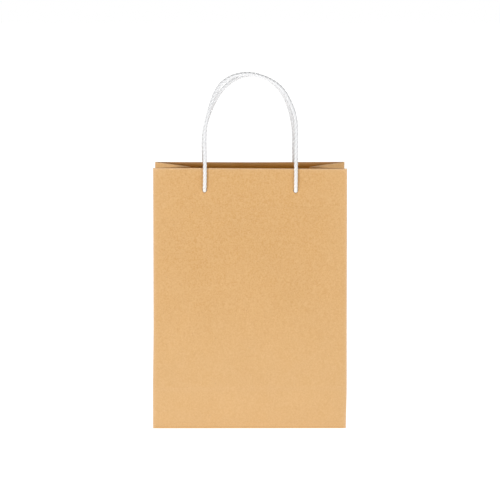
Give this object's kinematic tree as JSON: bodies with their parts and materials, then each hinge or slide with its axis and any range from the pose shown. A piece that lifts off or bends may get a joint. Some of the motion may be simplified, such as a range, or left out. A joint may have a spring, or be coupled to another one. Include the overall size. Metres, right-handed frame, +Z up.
{
  "type": "gift bag",
  "caption": "Plain kraft paper gift bag with folded-in side gussets, a flat block bottom, a turned-over stiffened rim and two knotted rope handles, standing open.",
  "frame": {"origin": "on the floor, under the middle of the bag", "axes": "+Z up, +X across the panels to the right seen from the front, front panel faces -Y"},
  "size_m": [0.2, 0.1, 0.3684],
  "materials": {
    "kraft_paper": "matte natural kraft, fine long fibres",
    "stiffening_card": "matte brown card",
    "grey_board": "matte recycled board",
    "cord": "soft twisted white cotton cord"
  },
  "bodies": {
    "base": {"bottom_outer_flap": "kraft_paper", "bottom_inner_flap": "kraft_paper", "left_dust_flap": "kraft_paper", "right_dust_flap": "kraft_paper", "bottom_board": "grey_board"},
    "front_wall": {"front_panel": "kraft_paper", "front_top_hem": "kraft_paper", "front_hem_card": "stiffening_card", "front_left_knot": "cord", "front_right_knot": "cord"},
    "back_wall": {"back_panel": "kraft_paper", "back_top_hem": "kraft_paper", "back_hem_card": "stiffening_card", "back_left_knot": "cord", "back_right_knot": "cord", "side_seam_flap": "kraft_paper"},
    "left_foot": {"left_gusset_foot": "kraft_paper"},
    "left_gusset_front": {"left_gusset_front_half": "kraft_paper", "left_gusset_front_hem": "kraft_paper"},
    "left_gusset_back": {"left_gusset_back_half": "kraft_paper", "left_gusset_back_hem": "kraft_paper"},
    "right_foot": {"right_gusset_foot": "kraft_paper"},
    "right_gusset_front": {"right_gusset_front_half": "kraft_paper", "right_gusset_front_hem": "kraft_paper"},
    "right_gusset_back": {"right_gusset_back_half": "kraft_paper", "right_gusset_back_hem": "kraft_paper"},
    "front_handle": {"front_handle_cord": "cord"},
    "back_handle": {"back_handle_cord": "cord"}
  },
  "joints": [
    {"name": "mouth_squeeze", "type": "hinge", "parent": "base", "child": "front_wall", "pos_m": [0, -0.0497, 0], "axis": [-1, 0, 0], "range_deg": [-1.5, 4]},
    {"name": "back_wall_fold", "type": "hinge", "parent": "base", "child": "back_wall", "pos_m": [0, 0.0497, 0], "axis": [1, 0, 0], "range_deg": [-1.5, 4]},
    {"name": "right_foot_fold", "type": "hinge", "parent": "base", "child": "right_foot", "pos_m": [0.0997, 0, 0], "axis": [0, -1, 0], "range_deg": [-3.35, 8.85]},
    {"name": "right_gusset_front_fold", "type": "hinge", "parent": "front_wall", "child": "right_gusset_front", "pos_m": [0.0997, -0.0497, 0], "axis": [0, 0.0656, 0.9978], "range_deg": [-9.5, 25.25]},
    {"name": "right_gusset_back_fold", "type": "hinge", "parent": "back_wall", "child": "right_gusset_back", "pos_m": [0.0997, 0.0497, 0], "axis": [0, 0.0656, -0.9978], "range_deg": [-9.5, 25.25]},
    {"name": "left_foot_fold", "type": "hinge", "parent": "base", "child": "left_foot", "pos_m": [-0.0997, 0, 0], "axis": [0, 1, 0], "range_deg": [-3.35, 8.85]},
    {"name": "left_gusset_front_fold", "type": "hinge", "parent": "front_wall", "child": "left_gusset_front", "pos_m": [-0.0997, -0.0497, 0], "axis": [0, -0.0656, -0.9978], "range_deg": [-9.5, 25.25]},
    {"name": "left_gusset_back_fold", "type": "hinge", "parent": "back_wall", "child": "left_gusset_back", "pos_m": [-0.0997, 0.0497, 0], "axis": [0, -0.0656, 0.9978], "range_deg": [-9.5, 25.25]},
    {"name": "front_handle_swing", "type": "hinge", "parent": "front_wall", "child": "front_handle", "pos_m": [0, -0.0363, 0.24665], "axis": [1, 0, 0], "range_deg": [0, 175]},
    {"name": "back_handle_swing", "type": "hinge", "parent": "back_wall", "child": "back_handle", "pos_m": [0, 0.0363, 0.24665], "axis": [-1, 0, 0], "range_deg": [0, 175]}
  ],
  "couplings": [
    {"joint": "back_wall_fold", "follows": "mouth_squeeze", "ratio": 1},
    {"joint": "right_foot_fold", "follows": "mouth_squeeze", "ratio": 2.2},
    {"joint": "right_gusset_front_fold", "follows": "mouth_squeeze", "ratio": 6.3},
    {"joint": "right_gusset_back_fold", "follows": "mouth_squeeze", "ratio": 6.3},
    {"joint": "left_foot_fold", "follows": "mouth_squeeze", "ratio": 2.2},
    {"joint": "left_gusset_front_fold", "follows": "mouth_squeeze", "ratio": 6.3},
    {"joint": "left_gusset_back_fold", "follows": "mouth_squeeze", "ratio": 6.3}
  ]
}
